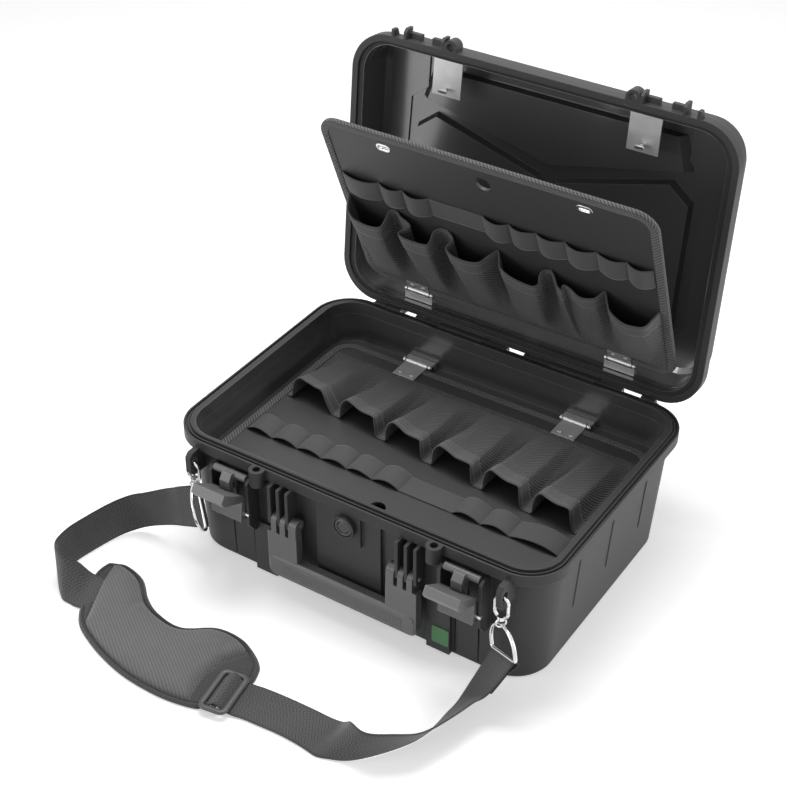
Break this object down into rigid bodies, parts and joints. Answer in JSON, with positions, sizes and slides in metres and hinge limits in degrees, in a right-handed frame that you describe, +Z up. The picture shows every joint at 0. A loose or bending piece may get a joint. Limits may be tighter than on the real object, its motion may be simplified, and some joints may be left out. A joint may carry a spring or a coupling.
{
  "type": "hard tool case",
  "caption": "Hard plastic tool case, open: hinged lid, over-centre latches, drop handle, pressure valve, hinged tool boards with pockets and elastic loops, padded shoulder strap.",
  "frame": {"origin": "centre of the underside of the base, on the floor", "axes": "+Z up, -Y towards the latches and the handle, +X to the right seen from the front"},
  "size_m": [0.5792, 0.6712, 0.5294],
  "materials": {
    "shell": "satin, fine grain",
    "black_plastic": "satin",
    "membrane": "matt",
    "label": "satin print, plain",
    "steel": "turned",
    "zinc": "zinc plated",
    "nickel": "nickel plated",
    "webbing": "herringbone weave",
    "pad_cloth": "woven nylon",
    "seal": "matt",
    "board": "smooth satin",
    "binding": "woven tape",
    "elastic": "ribbed elastic",
    "pocket_cloth": "twill nylon",
    "handle": "satin",
    "grip": "ribbed",
    "latch": "satin",
    "claw": "satin"
  },
  "bodies": {
    "case_base": {"base_shell": "shell", "base_padlock_eyes": "shell", "valve_body": "black_plastic", "valve_cap": "black_plastic", "valve_nut": "black_plastic", "valve_membrane": "membrane", "label_plate": "label", "latch_pins": "steel", "lid_hinge_pins": "steel", "base_pallet_brackets": "zinc", "base_pallet_pins": "steel", "handle_pins": "steel", "snap_hook_left": "nickel", "snap_hook_right": "nickel", "ring_left": "nickel", "ring_right": "nickel", "strap_left": "webbing", "strap_right": "webbing", "shoulder_pad": "pad_cloth", "strap_buckle": "black_plastic"},
    "lid": {"lid_shell": "shell", "lid_padlock_eyes": "shell", "lid_seal": "seal", "lid_brackets": "zinc", "lid_pallet_brackets": "zinc", "lid_pallet_pins": "steel"},
    "lid_pallet": {"lid_board": "board", "lid_binding": "binding", "lid_band": "elastic", "lid_pockets": "pocket_cloth", "lid_eyelets": "zinc", "lid_leaves": "zinc", "lid_rivets": "steel"},
    "base_pallet": {"base_board": "board", "base_binding": "binding", "base_band": "elastic", "base_pockets": "pocket_cloth", "base_eyelets": "zinc", "base_leaves": "zinc", "base_rivets": "steel"},
    "handle": {"handle_frame": "handle", "handle_grip": "grip"},
    "lever_left": {"latch_lever_left": "latch"},
    "lever_right": {"latch_lever_right": "latch"},
    "claw_left": {"latch_claw_left": "claw"},
    "claw_right": {"latch_claw_right": "claw"},
    "gate_left": {"snap_gate_left": "nickel"},
    "gate_right": {"snap_gate_right": "nickel"},
    "lock_left": {"turn_lock_left": "zinc"},
    "lock_right": {"turn_lock_right": "zinc"}
  },
  "joints": [
    {"name": "lid_hinge", "type": "hinge", "parent": "case_base", "child": "lid", "pos_m": [0, 0.1796, 0.162], "axis": [1, 0, 0], "range_deg": [0, 95.6]},
    {"name": "lid_pallet_hinge", "type": "hinge", "parent": "lid", "child": "lid_pallet", "pos_m": [0, 0.19841, 0.1899], "axis": [-1, 0, 0], "range_deg": [0, 28]},
    {"name": "base_pallet_hinge", "type": "hinge", "parent": "case_base", "child": "base_pallet", "pos_m": [0, 0.1495, 0.1181], "axis": [1, 0, 0], "range_deg": [-55, 0]},
    {"name": "handle_hinge", "type": "hinge", "parent": "case_base", "child": "handle", "pos_m": [0, -0.18, 0.107], "axis": [1, 0, 0], "range_deg": [-90, 0]},
    {"name": "lever_hinge_left", "type": "hinge", "parent": "case_base", "child": "lever_left", "pos_m": [-0.1535, -0.1875, 0.099], "axis": [1, 0, 0], "range_deg": [0, 142]},
    {"name": "lever_hinge_right", "type": "hinge", "parent": "case_base", "child": "lever_right", "pos_m": [0.1535, -0.1875, 0.099], "axis": [1, 0, 0], "range_deg": [0, 142]},
    {"name": "claw_slide_left", "type": "slide", "parent": "case_base", "child": "claw_left", "axis": [0, 0, 1], "range_m": [0, 0.0385]},
    {"name": "claw_slide_right", "type": "slide", "parent": "case_base", "child": "claw_right", "axis": [0, 0, 1], "range_m": [0, 0.0385]},
    {"name": "turn_lock_hinge_left", "type": "hinge", "parent": "lid", "child": "lock_left", "pos_m": [-0.1285, 0.23175, 0.46023], "axis": [0, 0.9952, -0.0976], "range_deg": [0, 90]},
    {"name": "turn_lock_hinge_right", "type": "hinge", "parent": "lid", "child": "lock_right", "pos_m": [0.1285, 0.23175, 0.46023], "axis": [0, 0.9952, -0.0976], "range_deg": [0, 90]},
    {"name": "snap_gate_hinge_left", "type": "hinge", "parent": "case_base", "child": "gate_left", "pos_m": [-0.21473, -0.18473, 0.12299], "axis": [0, 0.9914, 0.1305], "range_deg": [0, 12]},
    {"name": "snap_gate_hinge_right", "type": "hinge", "parent": "case_base", "child": "gate_right", "pos_m": [0.213, -0.1875, 0.1221], "axis": [0, 1, 0], "range_deg": [-12, 0]}
  ],
  "couplings": [
    {"joint": "lid_pallet_hinge", "follows": "lid_hinge", "ratio": 0.29289},
    {"joint": "claw_slide_left", "follows": "lever_hinge_left", "m_per_rad": 0.015534},
    {"joint": "claw_slide_right", "follows": "lever_hinge_right", "m_per_rad": 0.015534}
  ]
}
